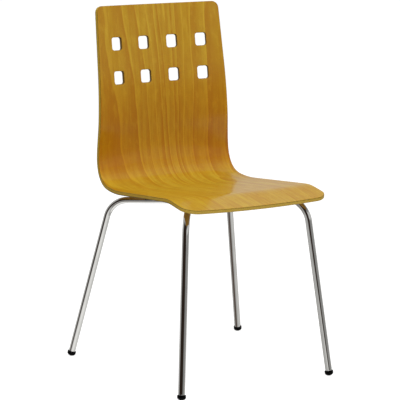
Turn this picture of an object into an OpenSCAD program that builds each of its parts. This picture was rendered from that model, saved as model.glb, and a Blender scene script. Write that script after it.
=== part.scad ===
// Stacking chair: one bent plywood shell on two bent steel tubes.
// Millimetres, +Z up, the chair faces -Y, and Z = 0 is the floor.
// The origin is the point on the floor under the middle of the chair.

/* [Seat line] */
// Height of the shell's front edge, top side
lip_height = 438.1; // [430:0.1:446]
// How far the front edge lies in front of the origin
lip_reach = 252.9; // [248:0.1:258]
// Slope of the rolled front lip, rising backwards, in degrees
lip_slope = 10.1; // [7:0.1:13]
// Length of the rolled front lip
lip_length = 76; // [70:1:84]
// Slope of the flat seat, falling backwards, in degrees
seat_slope = 4.8; // [4:0.1:6]
// Length of the flat seat, front to back
seat_length = 227.2; // [220:0.1:232]
// Lean of the top of the back from upright, in degrees
back_lean = 8.2; // [6:0.1:11]
// Length of the straight top of the back
back_length = 159.5; // [145:0.5:170]

/* [Shell outline] */
// Width of the seat at the front
front_width = 395.5; // [380:0.5:405]
// Width of the shell where the seat turns up into the back
heel_width = 387; // [375:1:392]
// Width of the back at its top
top_width = 346.5; // [335:0.5:360]
// How far the middle of the front edge bows forward
front_bow = 2.6; // [0:0.1:8]
// How much each side draws in towards the front edge
front_sweep = 2.4; // [0:0.1:5]
// How far the middle of the top edge rises above its ends
top_crown = 1.3; // [0:0.1:4]
// Radius of the two front corners
front_corner_r = 36; // [30:1:50]
// Radius of the two top corners
top_corner_r = 16.5; // [12:0.5:26]
// Radius of the side-to-side hollow of the back
back_hollow_r = 820; // [600:10:1200]

/* [Plywood] */
// Thickness of the glued core of the plywood
core_t = 7.8; // [6:0.1:9]
// Thickness of each face veneer
veneer_t = 0.6; // [0.5:0.1:1]

/* [Back openings] */
// Width of one opening
slot_w = 29.3; // [22:0.1:34]
// Height of one opening
slot_h = 32; // [22:0.5:38]
// Corner radius of one opening
slot_r = 6; // [3:0.5:10]
// Distance between neighbouring columns of openings
slot_pitch_x = 80; // [66:0.5:82]
// Distance between the two rows of openings
slot_pitch_z = 83.4; // [62:0.1:90]
// Distance from the top edge of the back to the middle of the upper row
slot_drop = 94.8; // [75:0.1:105]

/* [Leg frame] */
// Outer diameter of the tube
tube_d = 16; // [15:0.5:18]
// Wall thickness of the tube
tube_wall = 2; // [1.5:0.5:2.5]
// Centre-line radius of every bend
bend_r = 60; // [50:1:62]
// Sideways position of a front foot
front_foot_x = 206.4; // [190:0.1:220]
// Forward position of a front foot
front_foot_y = -242.4; // [-250:0.1:-230]
// Sideways position of a rear foot
rear_foot_x = 246.4; // [230:0.1:260]
// Backward position of a rear foot
rear_foot_y = 240.3; // [230:0.1:250]
// Sideways position of the corner between front leg and rail
front_knee_x = 164.7; // [155:0.1:175]
// Sideways position of the corner between rear leg and rail
rear_knee_x = 168.9; // [160:0.1:180]
// Sideways position of the corner where a tube's two rails meet
hub_x = 32; // [28:1:36]
// Front-to-back position of that corner
hub_y = -17.8; // [-22:0.1:-10]
// Angle between a rail and the X axis, in degrees
rail_angle = 53; // [51:0.5:55]

/* [Feet] */
// Widest diameter of a glide
glide_d = 21; // [19:0.5:24]
// Height of a glide below the tube, along the leg
glide_h = 12; // [10:0.5:16]

/* [Hidden] */

WOOD = "#c08f2e";
PLY = "#a8762c";
CHROME = "#b9babd";
STEEL = "#8d8f92";
BLACK = "#1c1c1e";
LEFT = -1;
RIGHT = 1;
FRONT = -1;
REAR = 1;

shell_t = core_t + 2 * veneer_t;
tube_r = tube_d / 2;
bore_r = tube_r - tube_wall;

// ---- Side view of the shell: a chain of straights and arcs from the front edge to the top ----
// Each link is [length, turn in degrees], and a turn is positive where the line bends upwards.
crest_length = 25.7;
heel_in = [73.9, 13.9];
heel = [64.3, 55.5];
heel_out = [38.7, 18.8];
lumbar = [56, 8.2];
upper_bend_length = 146.4;
rise = heel_in[1] + heel[1] + heel_out[1] + lumbar[1] - seat_slope;
chain = [
    [lip_length, 0],
    [crest_length, -lip_slope - seat_slope],
    [seat_length, 0],
    heel_in,
    heel,
    heel_out,
    lumbar,
    [upper_bend_length, 90 - back_lean - rise],
    [back_length, 0]
];
seat_start = lip_length + crest_length;
heel_start = seat_start + seat_length;
hollow_start = heel_start + 73;
hollow_end = heel_start + 259;
seat_hollow_r = 4220;
// Distance over which the front edge's bow and sweep fade out, and the top edge's crown
front_fade = 120;
top_fade = 100;

function link_start(k) = k == 0 ? 0 : link_start(k - 1) + chain[k - 1][0];
line_length = link_start(len(chain));

// Chord of an arc of length s that turns by a degrees
function chord(s, a) = abs(a) < 0.001 ? s : 2 * s / (a * PI / 180) * sin(a / 2);

// Point and slope of the side view at distance v from the front edge: [[y, z], slope]
function line_at(v, k = 0, p = [-lip_reach, lip_height], slope = lip_slope) =
    let (s = chain[k][0], last = k == len(chain) - 1)
    let (u = v <= s || last ? v : s)
    let (a = chain[k][1] * u / s)
    let (q = p + chord(u, a) * [cos(slope + a / 2), sin(slope + a / 2)])
    v <= s || last ? [q, slope + a] : line_at(v - s, k + 1, q, slope + a);

function ease(t) = let (u = min(max(t, 0), 1)) u * u * (3 - 2 * u);

// Side-to-side curvature at v: almost flat on the seat, hollow on the back
function hollow(v) =
    let (t = ease((v - hollow_start) / (hollow_end - hollow_start)))
    (1 - t) / seat_hollow_r + t / back_hollow_r;

// Local axes of the shell at x across and v along: [point on the top side, across, along, outward]
function shell_axes(x, v) =
    let (l = line_at(v), k = hollow(v), a = k * x * 180 / PI)
    let (n = [0, -sin(l[1]), cos(l[1])])
    let (middle = [0, l[0][0], l[0][1]])
    [
        middle + [sin(a) / k, 0, 0] + (1 - cos(a)) / k * n,
        [cos(a), 0, 0] + sin(a) * n,
        [0, cos(l[1]), sin(l[1])],
        [-sin(a), 0, 0] + cos(a) * n
    ];

// Point of the shell at x across, v along and a depth below the top side
function shell_point(x, v, depth) = let (f = shell_axes(x, v)) f[0] - depth * f[3];

// ---- Outline of the shell ----
// From 1 at an edge to 0 where the edge's shape has faded out
function fade(distance, reach) = let (t = 1 - min(distance / reach, 1)) t * t;

function side_x(v) =
    v < heel_start
        ? front_width / 2 + (heel_width - front_width) / 2 * v / heel_start - front_sweep * fade(v, front_fade)
        : heel_width / 2 + (top_width - heel_width) / 2 * (v - heel_start) / (line_length - heel_start);

// Half width of the outline at v, with its rounded corners
function half_width(v) =
    let (f = max(front_corner_r - v, 0), t = max(v - line_length + top_corner_r, 0))
    side_x(v)
        - (front_corner_r - sqrt(front_corner_r * front_corner_r - f * f))
        - (top_corner_r - sqrt(top_corner_r * top_corner_r - t * t));

// The front edge bows forward in the middle, and the top edge rises in the middle
function bowed(x, v) =
    let (f = x / (front_width / 2), t = x / (top_width / 2))
    v + front_bow * f * f * fade(v, front_fade) - top_crown * t * t * fade(line_length - v, top_fade);

corner_steps = 6;
link_steps = [2, 3, 6, 5, 11, 4, 3, 4, 4];
ROWS = [
    for (i = [0:corner_steps]) front_corner_r * (1 - cos(90 * i / corner_steps)),
    for (k = [0:len(chain) - 1])
        for (i = [1:link_steps[k]])
            let (v = link_start(k) + chain[k][0] * i / link_steps[k])
            if (v > front_corner_r + 4 && v < line_length - top_corner_r - 4) v,
    for (i = [corner_steps:-1:0]) line_length - top_corner_r * (1 - cos(90 * i / corner_steps))
];
columns = 18;

// One layer of the shell, from depth d0 to depth d1 below its top side
module shell_layer(d0, d1) {
    last = len(ROWS) - 1;
    layer = (last + 1) * (columns + 1);
    function id(i, j) = i * (columns + 1) + j;
    function grid(depth) = [
        for (v = ROWS)
            for (j = [0:columns])
                let (x = half_width(v) * (2 * j / columns - 1))
                shell_point(x, bowed(x, v), depth)
    ];
    function skin(base, flip) = [
        for (i = [0:last - 1])
            for (j = [0:columns - 1])
                let (a = base + id(i, j), b = base + id(i, j + 1))
                let (c = base + id(i + 1, j + 1), d = base + id(i + 1, j))
                each flip ? [[a, b, c], [a, c, d]] : [[a, c, b], [a, d, c]]
    ];
    rim = concat(
        [for (j = [0:columns - 1]) id(0, j)],
        [for (i = [0:last - 1]) id(i, columns)],
        [for (j = [columns:-1:1]) id(last, j)],
        [for (i = [last:-1:1]) id(i, 0)]
    );
    edge = [
        for (k = [0:len(rim) - 1])
            let (a = rim[k], b = rim[(k + 1) % len(rim)])
            each [[a, b, b + layer], [a, b + layer, a + layer]]
    ];
    polyhedron(points = concat(grid(d0), grid(d1)), faces = concat(skin(0, false), skin(layer, true), edge));
}

// ---- Placing ----
function unit(v) = v / norm(v);

// Places the children with their X, Y and Z axes along ax, ay and az, and their origin at p
module place(p, ax, ay, az) {
    multmatrix([
        [ax.x, ay.x, az.x, p.x],
        [ax.y, ay.y, az.y, p.y],
        [ax.z, ay.z, az.z, p.z],
        [0, 0, 0, 1]
    ]) children();
}

// Places the children with their Z axis along d
module aim(p, d) {
    az = unit(d);
    ax = unit(cross(abs(az.z) < 0.9 ? [0, 0, 1] : [1, 0, 0], az));
    place(p, ax, cross(az, ax), az) children();
}

// Places the children on the shell, with their Z axis along its outward side
module on_shell(x, v, depth = 0) {
    f = shell_axes(x, v);
    place(f[0] - depth * f[3], f[1], f[2], f[3]) children();
}

// Height above the tube centres, square to the plane that the rails lie in
under_shell = tube_r + 8;
function seat_point(y) =
    let (l = line_at(seat_start))
    l[0] + (y - l[0][0]) * [1, -tan(seat_slope)];
hub_z = seat_point(hub_y)[1] - (under_shell + shell_t) / cos(seat_slope);

// Places the children in the plane of the rails, with X across, Y backwards and the hub at the origin
module on_rails() {
    translate([0, hub_y, hub_z])
        rotate([-seat_slope, 0, 0])
            children();
}

// Rounded plate in the XY plane, from z0 upwards
module round_plate(w, l, r, z0, t) {
    translate([0, 0, z0]) linear_extrude(t) round_rect(w, l, r);
}

module round_rect(w, l, r) {
    square([w - 2 * r, l], center = true);
    square([w, l - 2 * r], center = true);
    for (sx = [-1, 1], sy = [-1, 1])
        translate([sx * (w / 2 - r), sy * (l / 2 - r)]) circle(r, $fn = 48);
}

// ---- Shell ----
module slot_cutters() {
    for (row = [0, 1], column = [-1.5, -0.5, 0.5, 1.5])
        on_shell(column * slot_pitch_x, line_length - slot_drop - row * slot_pitch_z, shell_t / 2)
            linear_extrude(3 * shell_t, center = true) round_rect(slot_w, slot_h, slot_r);
}

screw_x = 30;
bracket_y = 40;
screw_r = 3;
screw_hole_r = 3.3;
nut_barrel_r = 4;
nut_flange_r = 9;
nut_flange_t = 1.2;
// The flange lies just under the face veneer
nut_seat = under_shell + veneer_t + core_t - 0.1;

module at_screws() {
    on_rails()
        for (sx = [LEFT, RIGHT], sy = [FRONT, REAR])
            translate([sx * screw_x, sy * bracket_y, 0]) children();
}

module face_veneer() {
    color(WOOD) difference() {
        shell_layer(0, veneer_t);
        slot_cutters();
    }
}

module ply_core() {
    color(PLY) difference() {
        shell_layer(veneer_t, veneer_t + core_t);
        slot_cutters();
        at_screws() {
            translate([0, 0, under_shell - 1]) cylinder(r = nut_barrel_r, h = core_t + 4, $fn = 48);
            translate([0, 0, nut_seat - nut_flange_t]) cylinder(r = nut_flange_r, h = 4, $fn = 48);
        }
    }
}

module back_veneer() {
    color(WOOD) difference() {
        shell_layer(veneer_t + core_t, shell_t);
        slot_cutters();
        at_screws() translate([0, 0, under_shell - 1]) cylinder(r = nut_barrel_r, h = 4, $fn = 48);
    }
}

// ---- Leg frame ----
front_knee_y = hub_y - (front_knee_x - hub_x) * tan(rail_angle);
rear_knee_y = hub_y + (rear_knee_x - hub_x) * tan(rail_angle);
function rail_point(side, x, y) = [side * x, y, hub_z - (y - hub_y) * tan(seat_slope)];
function foot(side, end) =
    end == FRONT ? [side * front_foot_x, front_foot_y, 0] : [side * rear_foot_x, rear_foot_y, 0];
function knee(side, end) =
    end == FRONT
        ? rail_point(side, front_knee_x, front_knee_y)
        : rail_point(side, rear_knee_x, rear_knee_y);
function leg_axis(side, end) = unit(knee(side, end) - foot(side, end));
function tube_end(side, end) = foot(side, end) + glide_h * leg_axis(side, end);
function route(side) = [
    tube_end(side, FRONT),
    knee(side, FRONT),
    rail_point(side, hub_x, hub_y),
    knee(side, REAR),
    tube_end(side, REAR)
];

tube_sides = 24;
bend_steps = 12;

// Points and directions along a route: each straight's two ends and the steps of each bend
function stations(pts) =
    let (last = len(pts) - 1)
    let (first = unit(pts[1] - pts[0]), final = unit(pts[last] - pts[last - 1]))
    concat(
        [[pts[0], first]],
        [
            for (k = [1:last - 1])
                let (d = unit(pts[k] - pts[k - 1]), next = unit(pts[k + 1] - pts[k]))
                let (inward = unit(next - d * (next * d)), turn = acos(d * next))
                let (centre = pts[k] - d * bend_r * tan(turn / 2) + inward * bend_r)
                for (i = [0:bend_steps])
                    let (a = turn * i / bend_steps)
                    [centre + bend_r * (d * sin(a) - inward * cos(a)), d * cos(a) + inward * sin(a)]
        ],
        [[pts[last], final]]
    );

// Sideways direction at every station, carried along without twisting
function carried(st, k = 0, side = [0, 1, 0]) =
    k == len(st) ? [] : let (s = unit(side - st[k][1] * (side * st[k][1]))) concat([s], carried(st, k + 1, s));

// Hollow round tube along a route
module bent_tube(pts, r_out, r_in) {
    st = stations(pts);
    across = carried(st);
    last = len(st) - 1;
    n = tube_sides;
    function ring(r) = [
        for (k = [0:last])
            for (i = [0:n - 1])
                st[k][0] + r * (cos(360 * i / n) * across[k] + sin(360 * i / n) * cross(st[k][1], across[k]))
    ];
    inner = (last + 1) * n;
    function wall(base, flip) = [
        for (k = [0:last - 1])
            for (i = [0:n - 1])
                let (a = base + k * n + i, b = base + k * n + (i + 1) % n)
                each flip ? [[a, b, b + n], [a, b + n, a + n]] : [[a, b + n, b], [a, a + n, b + n]]
    ];
    function rim(k, flip) = [
        for (i = [0:n - 1])
            let (a = k * n + i, b = k * n + (i + 1) % n)
            each flip ? [[a, b, b + inner], [a, b + inner, a + inner]] : [[a, b + inner, b], [a, a + inner, b + inner]]
    ];
    polyhedron(
        points = concat(ring(r_out), ring(r_in)),
        faces = concat(wall(0, false), wall(inner, true), rim(0, true), rim(last, false))
    );
}

// Distance of the pads from the hub, along a rail
pad_reach = 118;
stud_r = 3;

// Places the children on a rail with their X axis along it
module on_rail(side, end, s) {
    on_rails()
        translate([side * (hub_x + s * cos(rail_angle)), end * s * sin(rail_angle), 0])
            rotate([0, 0, side * end * rail_angle])
                children();
}

module leg_tube(side) {
    color(CHROME) difference() {
        bent_tube(route(side), tube_r, bore_r);
        for (end = [FRONT, REAR])
            on_rail(side, end, pad_reach) cylinder(r = stud_r, h = tube_r + 1, $fn = 32);
    }
}

module left_leg_tube() { leg_tube(LEFT); }
module right_leg_tube() { leg_tube(RIGHT); }

// ---- Brackets, spacers and fasteners ----
bracket_w = 164;
bracket_l = 30;
bracket_t = 4;
spacer_l = 26;
spacer_t = under_shell - tube_r - bracket_t;

module bored_plate(end, l, z0, t) {
    on_rails()
        translate([0, end * bracket_y, 0])
            difference() {
                round_plate(bracket_w, l, 8, z0, t);
                for (sx = [LEFT, RIGHT])
                    translate([sx * screw_x, 0, z0 - 1]) cylinder(r = screw_hole_r, h = t + 2, $fn = 48);
            }
}

module front_seat_bracket() { color(STEEL) bored_plate(FRONT, bracket_l, tube_r, bracket_t); }
module rear_seat_bracket() { color(STEEL) bored_plate(REAR, bracket_l, tube_r, bracket_t); }
module front_spacer() { color(BLACK) bored_plate(FRONT, spacer_l, tube_r + bracket_t, spacer_t); }
module rear_spacer() { color(BLACK) bored_plate(REAR, spacer_l, tube_r + bracket_t, spacer_t); }

// Fillet welds in the corners between a tube and the underside of a bracket
weld_reach = 56;
weld_l = 18;
weld_leg = 3.4;
weld_in = 2.5;

module bracket_welds() {
    color(STEEL)
        for (side = [LEFT, RIGHT], end = [FRONT, REAR], flank = [-1, 1])
            on_rail(side, end, weld_reach)
                rotate([90, 0, 90])
                    linear_extrude(weld_l, center = true)
                        difference() {
                            polygon([
                                [flank * weld_in, tube_r],
                                [flank * (tube_r - 0.5), tube_r],
                                [flank * (tube_r - 1.8), tube_r - weld_leg],
                                [flank * weld_in, tube_r - weld_leg]
                            ]);
                            circle(tube_r, $fn = 64);
                        }
}

washer_t = 1.6;
head_r = 5.5;
head_h = 3.3;
screw_length = 16;
key_r = 2.3;

module seat_screws() {
    color(STEEL)
        at_screws()
            translate([0, 0, tube_r - washer_t])
                difference() {
                    union() {
                        cylinder(r = screw_r, h = screw_length, $fn = 48);
                        translate([0, 0, -head_h]) cylinder(r = head_r, h = head_h, $fn = 48);
                    }
                    translate([0, 0, -head_h - 1]) cylinder(r = key_r, h = head_h, $fn = 6);
                }
}

module lock_washers() {
    color(STEEL)
        at_screws()
            translate([0, 0, tube_r - washer_t])
                difference() {
                    cylinder(r = head_r + 0.5, h = washer_t, $fn = 48);
                    translate([0, 0, -1]) cylinder(r = screw_hole_r, h = washer_t + 2, $fn = 48);
                }
}

module tee_nuts() {
    color(STEEL)
        at_screws()
            difference() {
                union() {
                    translate([0, 0, under_shell + 0.3])
                        cylinder(r = nut_barrel_r, h = nut_seat - under_shell - 0.3, $fn = 48);
                    translate([0, 0, nut_seat - nut_flange_t])
                        cylinder(r = nut_flange_r, h = nut_flange_t, $fn = 48);
                }
                translate([0, 0, under_shell - 1]) cylinder(r = screw_r, h = core_t + 4, $fn = 48);
            }
}

// ---- Pads between the rails and the shell ----
pad_l = 28;
pad_w = 22;
pad_gap = 0.4;

module pad(side, end) {
    color(BLACK)
        on_rail(side, end, pad_reach) {
            difference() {
                translate([-pad_l / 2, -pad_w / 2, 0]) cube([pad_l, pad_w, under_shell - pad_gap]);
                rotate([0, 90, 0]) cylinder(r = tube_r, h = pad_l + 2, center = true, $fn = 64);
            }
            translate([0, 0, bore_r - 2]) cylinder(r = stud_r, h = tube_wall + 4, $fn = 32);
        }
}

module front_left_pad() { pad(LEFT, FRONT); }
module front_right_pad() { pad(RIGHT, FRONT); }
module rear_left_pad() { pad(LEFT, REAR); }
module rear_right_pad() { pad(RIGHT, REAR); }

// ---- Glides ----
plug_l = 24;
plug_gap = 0.1;
brim_h = 4;
dome_r = 12;
dome_lift = 11.5;

module glide(side, end) {
    axis = leg_axis(side, end);
    reach = [glide_d, glide_d, glide_d];
    color(BLACK)
        difference() {
            aim(foot(side, end), axis) {
                translate([0, 0, glide_h]) cylinder(r = bore_r - plug_gap, h = plug_l, $fn = 64);
                translate([0, 0, glide_h - brim_h]) cylinder(r = glide_d / 2, h = brim_h, $fn = 64);
                intersection() {
                    translate([0, 0, dome_lift]) sphere(r = dome_r, $fn = 64);
                    translate([0, 0, -dome_r]) cylinder(r = glide_d / 2, h = glide_h - brim_h + dome_r, $fn = 64);
                }
            }
            translate(foot(side, end) - [glide_d, glide_d, 2 * glide_d]) cube(2 * reach);
        }
}

module front_left_glide() { glide(LEFT, FRONT); }
module front_right_glide() { glide(RIGHT, FRONT); }
module rear_left_glide() { glide(LEFT, REAR); }
module rear_right_glide() { glide(RIGHT, REAR); }

face_veneer();
ply_core();
back_veneer();
left_leg_tube();
right_leg_tube();
front_seat_bracket();
rear_seat_bracket();
bracket_welds();
front_spacer();
rear_spacer();
seat_screws();
lock_washers();
tee_nuts();
front_left_pad();
front_right_pad();
rear_left_pad();
rear_right_pad();
front_left_glide();
front_right_glide();
rear_left_glide();
rear_right_glide();
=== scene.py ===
"""Stacking chair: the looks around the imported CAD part. Metres, +Z up, the chair faces -Y."""

import bpy
import math
import numpy as np
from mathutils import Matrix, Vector


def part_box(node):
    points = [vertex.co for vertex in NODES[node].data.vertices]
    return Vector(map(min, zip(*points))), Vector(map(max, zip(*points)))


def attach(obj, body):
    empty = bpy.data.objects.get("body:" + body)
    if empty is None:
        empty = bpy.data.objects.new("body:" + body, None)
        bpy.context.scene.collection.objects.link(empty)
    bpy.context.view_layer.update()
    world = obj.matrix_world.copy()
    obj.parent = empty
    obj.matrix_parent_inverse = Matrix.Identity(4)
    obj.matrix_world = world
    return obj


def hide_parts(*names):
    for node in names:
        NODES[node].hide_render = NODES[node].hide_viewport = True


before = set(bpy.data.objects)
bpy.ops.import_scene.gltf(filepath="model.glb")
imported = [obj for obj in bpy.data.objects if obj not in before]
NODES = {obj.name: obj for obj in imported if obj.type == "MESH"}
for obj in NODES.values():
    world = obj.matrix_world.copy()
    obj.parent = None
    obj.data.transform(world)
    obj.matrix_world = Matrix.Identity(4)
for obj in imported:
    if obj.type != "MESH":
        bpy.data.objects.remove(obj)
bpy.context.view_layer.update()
MM = 0.001

# ---- Driving sizes, the same as in the CAD design ----
LIP_HEIGHT = 438.1 * MM
LIP_REACH = 252.9 * MM
LIP_LENGTH = 76 * MM
LIP_SLOPE = math.radians(10.1)
CREST_LENGTH = 25.7 * MM
SEAT_LENGTH = 227.2 * MM
SEAT_SLOPE = math.radians(4.8)
# The arcs from the seat up to the small of the back: length in millimetres, and turn in degrees
HEEL_ARCS = [(73.9, 13.9), (64.3, 55.5), (38.7, 18.8), (56, 8.2)]
HEEL_TURN = math.radians(sum(turn for length, turn in HEEL_ARCS))
UPPER_BEND_LENGTH = 146.4 * MM
BACK_LENGTH = 159.5 * MM
BACK_LEAN = math.radians(8.2)
# The shell's side line, front edge to top: length of each link, and its turn
LINKS = [
    (LIP_LENGTH, 0.0),
    (CREST_LENGTH, -LIP_SLOPE - SEAT_SLOPE),
    (SEAT_LENGTH, 0.0),
    *((length * MM, math.radians(turn)) for length, turn in HEEL_ARCS),
    (UPPER_BEND_LENGTH, math.pi / 2 - BACK_LEAN - HEEL_TURN + SEAT_SLOPE),
    (BACK_LENGTH, 0.0),
]
LINE_LENGTH = sum(length for length, turn in LINKS)
HEEL_START = LIP_LENGTH + CREST_LENGTH + SEAT_LENGTH
HOLLOW_START = HEEL_START + 73 * MM
HOLLOW_END = HEEL_START + 259 * MM
SEAT_HOLLOW_R = 4.22
BACK_HOLLOW_R = 0.82
FRONT_WIDTH = 395.5 * MM
HEEL_WIDTH = 387 * MM
TOP_WIDTH = 346.5 * MM
FRONT_BOW = 2.6 * MM
FRONT_SWEEP = 2.4 * MM
FRONT_FADE = 120 * MM
TOP_CROWN = 1.3 * MM
TOP_FADE = 100 * MM
FRONT_CORNER_R = 36 * MM
TOP_CORNER_R = 16.5 * MM
VENEER_T = 0.6 * MM
SHELL_T = 9 * MM
SLOT_W = 29.3 * MM
SLOT_H = 32 * MM
SLOT_R = 6 * MM
SLOT_PITCH_X = 80 * MM
SLOT_PITCH_V = 83.4 * MM
SLOT_DROP = 94.8 * MM
EDGE_ROUND = 1.1 * MM

TUBE_R = 8 * MM
BORE_R = 6 * MM
BEND_R = 60 * MM
BRACKET_T = 4 * MM
GLIDE_R = 10.5 * MM
GLIDE_H = 12 * MM
HUB = (32 * MM, -17.8 * MM)
RAIL_ANGLE = math.radians(53)
KNEE_X = {"front": 164.7 * MM, "rear": 168.9 * MM}
FOOT = {"front": (206.4 * MM, -242.4 * MM), "rear": (246.4 * MM, 240.3 * MM)}
PAD_REACH = 118 * MM
SIDES = {"left": -1, "right": 1}
ENDS = {"front": -1, "rear": 1}


# ---- Small helpers ----
def unit(v):
    v = np.asarray(v, float)
    return v / np.linalg.norm(v)


def ease(t):
    """From 0 to 1 as t does, and level at both ends."""
    t = np.clip(t, 0, 1)
    return t * t * (3 - 2 * t)


def ring_faces(first, second, count):
    """Quads between two rings of count vertices, which start at the vertices first and second."""
    quads = []
    for i in range(count):
        j = (i + 1) % count
        quads.append((first + i, first + j, second + j, second + i))
    return quads


def new_object(name, verts, faces, material, smooth_angle=40):
    """A mesh object from vertices and faces, smooth except across edges sharper than smooth_angle."""
    mesh = bpy.data.meshes.new(name)
    points = [tuple(map(float, v)) for v in verts]
    mesh.from_pydata(points, [], [tuple(map(int, f)) for f in faces])
    mesh.validate()
    for polygon in mesh.polygons:
        polygon.use_smooth = True
    mesh.set_sharp_from_angle(angle=math.radians(smooth_angle))
    obj = bpy.data.objects.new(name, mesh)
    bpy.context.scene.collection.objects.link(obj)
    mesh.materials.append(material)
    return obj


def place(obj, slot, *nodes):
    """Rides on the chair, and stands for the named CAD nodes; its slot is not used."""
    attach(obj, "root")
    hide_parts(*nodes)


# ---- Shell surface: x runs across, and v along the shell from the front edge to the top ----
class SideLine:
    """The shell's side line, with its changes of curvature softened, as points every millimetre."""

    STEP = 1 * MM
    SOFTEN = 9
    OVERRUN = 30 * MM
    FLAT_SEAT_MIDDLE = 200 * MM
    TOP_MARGIN = 0.1 * MM

    def __init__(self):
        self.v = np.arange(-self.OVERRUN, LINE_LENGTH + self.OVERRUN, self.STEP)
        slope = self.sharp_slope()
        reach = np.arange(-3 * self.SOFTEN, 3 * self.SOFTEN + 1)
        weight = np.exp(-0.5 * (reach / self.SOFTEN) ** 2)
        padded = np.pad(slope, 3 * self.SOFTEN, mode="edge")
        self.slope = np.convolve(padded, weight / weight.sum(), mode="valid")
        exact = self.integrate(slope)
        soft = self.integrate(self.slope)
        front = self.nearest(0.0)
        middle = self.nearest(self.FLAT_SEAT_MIDDLE)
        top = self.nearest(LINE_LENGTH)
        start_point = np.array([-LIP_REACH, LIP_HEIGHT])
        anchor = start_point + exact[middle] - exact[front]
        self.points = anchor + soft - soft[middle]
        # The softening lengthens the back slightly; this brings its top down inside the CAD's outline
        excess = self.points[top] - (start_point + exact[top] - exact[front]) + self.TOP_MARGIN
        share = (self.v - self.FLAT_SEAT_MIDDLE) / (LINE_LENGTH - self.FLAT_SEAT_MIDDLE)
        self.points = self.points - np.clip(share, 0, 1)[:, None] * excess

    def sharp_slope(self):
        """Slope at every point before softening, with each link's turn spread evenly over its length."""
        slope = np.full(len(self.v), LIP_SLOPE)
        start = 0.0
        for length, turn in LINKS:
            slope += turn * np.clip((self.v - start) / length, 0, 1)
            start += length
        return slope

    def nearest(self, v):
        return np.argmin(abs(self.v - v))

    def integrate(self, slope):
        steps = np.stack([np.cos(slope), np.sin(slope)], 1) * self.STEP
        middles = (steps[1:] + steps[:-1]) / 2
        return np.concatenate([np.zeros((1, 2)), np.cumsum(middles, 0)])

    def at(self, v):
        """Y, Z and slope of the line at v."""
        y = np.interp(v, self.v, self.points[:, 0])
        z = np.interp(v, self.v, self.points[:, 1])
        return y, z, np.interp(v, self.v, self.slope)


LINE = SideLine()


def hollow(v):
    """Side-to-side curvature: almost flat on the seat, hollow on the back."""
    t = ease((v - HOLLOW_START) / (HOLLOW_END - HOLLOW_START))
    return (1 - t) / SEAT_HOLLOW_R + t / BACK_HOLLOW_R


def shell_point(x, v, depth):
    """Points of the shell at x across, v along and a depth below the top side."""
    y, z, slope = LINE.at(v)
    k = hollow(v)
    a = k * x
    ny, nz = -np.sin(slope), np.cos(slope)
    rise = (1 - np.cos(a)) / k - depth * np.cos(a)
    return np.stack([np.sin(a) / k + depth * np.sin(a), y + rise * ny, z + rise * nz], -1)


def fade(distance, reach):
    """From 1 at an edge to 0 where the edge's shape has faded out."""
    return (1 - np.clip(distance / reach, None, 1)) ** 2


def side_x(v):
    """Half the shell's width at v, before its corners are rounded."""
    seat = FRONT_WIDTH / 2 + (HEEL_WIDTH - FRONT_WIDTH) / 2 * v / HEEL_START
    seat = seat - FRONT_SWEEP * fade(v, FRONT_FADE)
    past_heel = v - HEEL_START
    back = HEEL_WIDTH / 2 + (TOP_WIDTH - HEEL_WIDTH) / 2 * past_heel / (LINE_LENGTH - HEEL_START)
    return np.where(v < HEEL_START, seat, back)


def bowed(x, v):
    """The front edge bows forward in the middle, and the top edge rises in the middle."""
    bow = FRONT_BOW * (x / (FRONT_WIDTH / 2)) ** 2 * fade(v, FRONT_FADE)
    crown = TOP_CROWN * (x / (TOP_WIDTH / 2)) ** 2 * fade(LINE_LENGTH - v, TOP_FADE)
    return v + bow - crown


# ---- Flat pattern of the shell: a grid of quads with eight openings ----
COLUMNS = 56
ROW_STEP = 7.4 * MM
BEND_ROW_STEP = 5 * MM
# Between these the rows are closer together, for the bend
BEND_ROWS = (HEEL_START - 20 * MM, HEEL_START + 250 * MM)
# The grid's quads are cleared this far round an opening
OPENING_MARGIN = 7 * MM
# Share of the points on an opening's side that go to each of its half corners
CORNER_SHARE = 0.3


def end_edge(v_edge, inward, radius, half):
    """Points along the front or top edge, between the middles of its two rounded corners."""
    arc = radius * math.pi / 4
    flat = half - radius
    s = np.linspace(-(flat + arc), flat + arc, COLUMNS + 1)
    over = np.clip(abs(s) - flat, 0, None) / radius
    x = np.sign(s) * (np.clip(abs(s), None, flat) + radius * np.sin(over))
    return np.stack([x, v_edge + inward * radius * (1 - np.cos(over))], 1)


def side_edge():
    """Points along the right edge, from the middle of the front corner to the middle of the top one."""
    first = FRONT_CORNER_R * (1 - math.cos(math.pi / 4))
    last = LINE_LENGTH - TOP_CORNER_R * (1 - math.cos(math.pi / 4))
    v = [first]
    while v[-1] < last:
        in_bend = BEND_ROWS[0] < v[-1] < BEND_ROWS[1]
        near_corner = v[-1] < FRONT_CORNER_R or v[-1] > LINE_LENGTH - 1.6 * TOP_CORNER_R
        v.append(v[-1] + (BEND_ROW_STEP if in_bend or near_corner else ROW_STEP))
    v = np.array(v)
    v = first + (v - first) * (last - first) / (v[-1] - first)
    into_front = np.clip(FRONT_CORNER_R - v, 0, None)
    into_top = np.clip(v - LINE_LENGTH + TOP_CORNER_R, 0, None)
    x = side_x(v)
    x = x - (FRONT_CORNER_R - np.sqrt(FRONT_CORNER_R**2 - into_front**2))
    x = x - (TOP_CORNER_R - np.sqrt(TOP_CORNER_R**2 - into_top**2))
    return np.stack([x, v], 1)


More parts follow.
